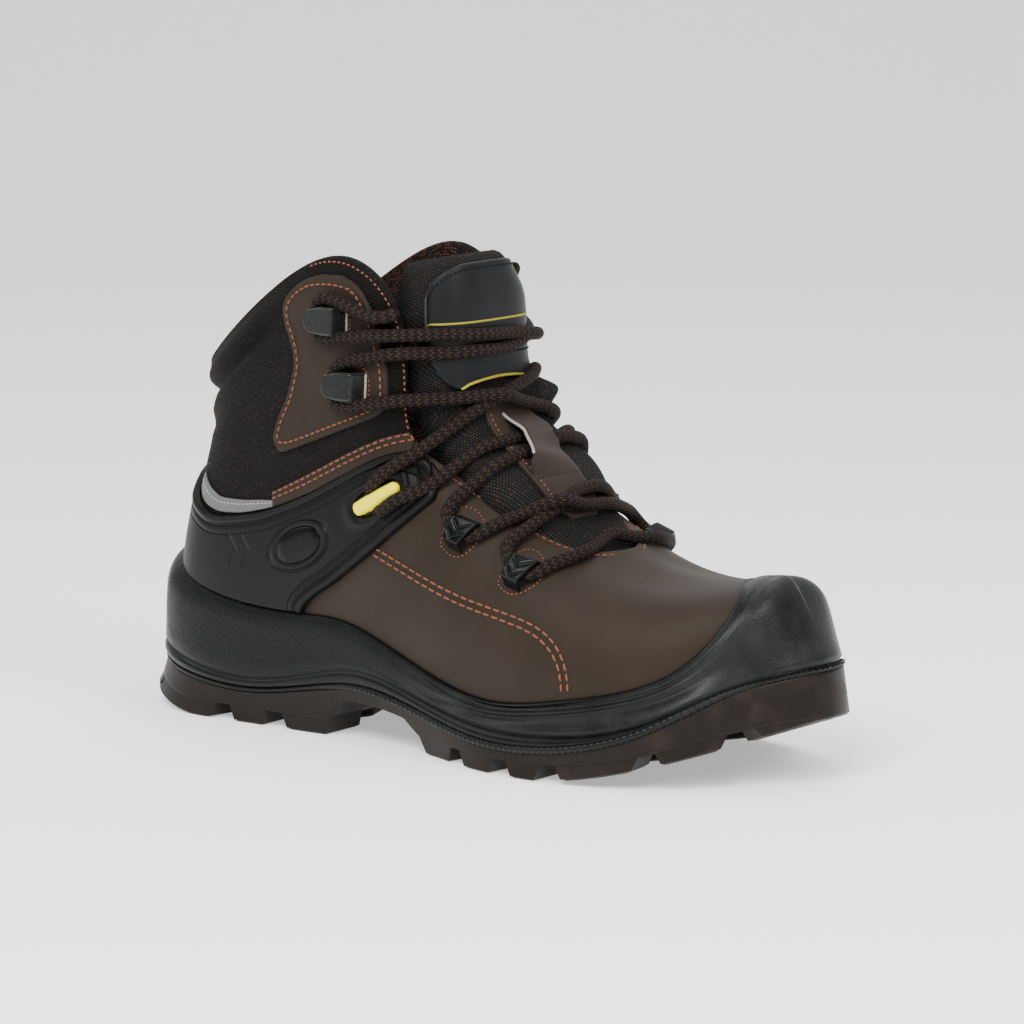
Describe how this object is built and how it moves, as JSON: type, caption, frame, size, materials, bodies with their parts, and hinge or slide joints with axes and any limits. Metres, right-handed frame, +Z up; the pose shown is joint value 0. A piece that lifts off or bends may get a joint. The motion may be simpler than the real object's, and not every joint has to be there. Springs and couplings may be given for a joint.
{
  "type": "work boot",
  "caption": "Ankle-high lace-up safety work boot for the right foot, with a moulded toe cap, heel brace, padded collar and lugged rubber sole.",
  "frame": {"origin": "on the floor, under the middle of the boot's box", "axes": "+X towards the toe, +Z up; the outer (little toe) side is at -Y"},
  "size_m": [0.305, 0.114, 0.187],
  "materials": {
    "brown_leather": "dark brown nubuck-like leather, fine grain, low sheen",
    "midsole_black": "black moulded polyurethane, satin, glossy on the toe cap and grained at the heel",
    "outsole_rubber": "very dark brown rubber, matte",
    "insole_cloth": "dark needled cloth",
    "black_plastic": "black moulded plastic, satin",
    "label_leather": "black smooth leather patch, plain",
    "black_mesh": "black padded woven mesh",
    "yellow_plastic": "pale yellow moulded plastic, glossy",
    "reflective_grey": "grey reflective tape",
    "lace_cord": "round braided lace in black and brown"
  },
  "bodies": {
    "root": {"upper": "brown_leather", "tongue_strip": "brown_leather", "hook_stay_outer": "brown_leather", "hook_stay_inner": "brown_leather", "midsole": "midsole_black", "outsole": "outsole_rubber", "insole": "insole_cloth", "heel_stabiliser": "black_plastic", "badge_outer": "black_plastic", "badge_inner": "black_plastic", "ghillie_lower_outer": "black_plastic", "ghillie_lower_inner": "black_plastic", "ghillie_upper_outer": "black_plastic", "ghillie_upper_inner": "black_plastic", "lace_tab_lower_outer": "black_plastic", "lace_tab_lower_inner": "black_plastic", "lace_tab_upper_outer": "black_plastic", "lace_tab_upper_inner": "black_plastic", "tongue_label": "label_leather", "tongue": "black_mesh", "lace_guide_outer": "yellow_plastic", "lace_guide_inner": "yellow_plastic", "reflective_outer": "reflective_grey", "reflective_inner": "reflective_grey", "lace_bar": "lace_cord", "lace_cross_1": "lace_cord", "lace_cross_2": "lace_cord", "lace_cross_3": "lace_cord", "lace_cross_4": "lace_cord", "lace_end_outer": "lace_cord", "lace_end_inner": "lace_cord"}
  },
  "joints": []
}
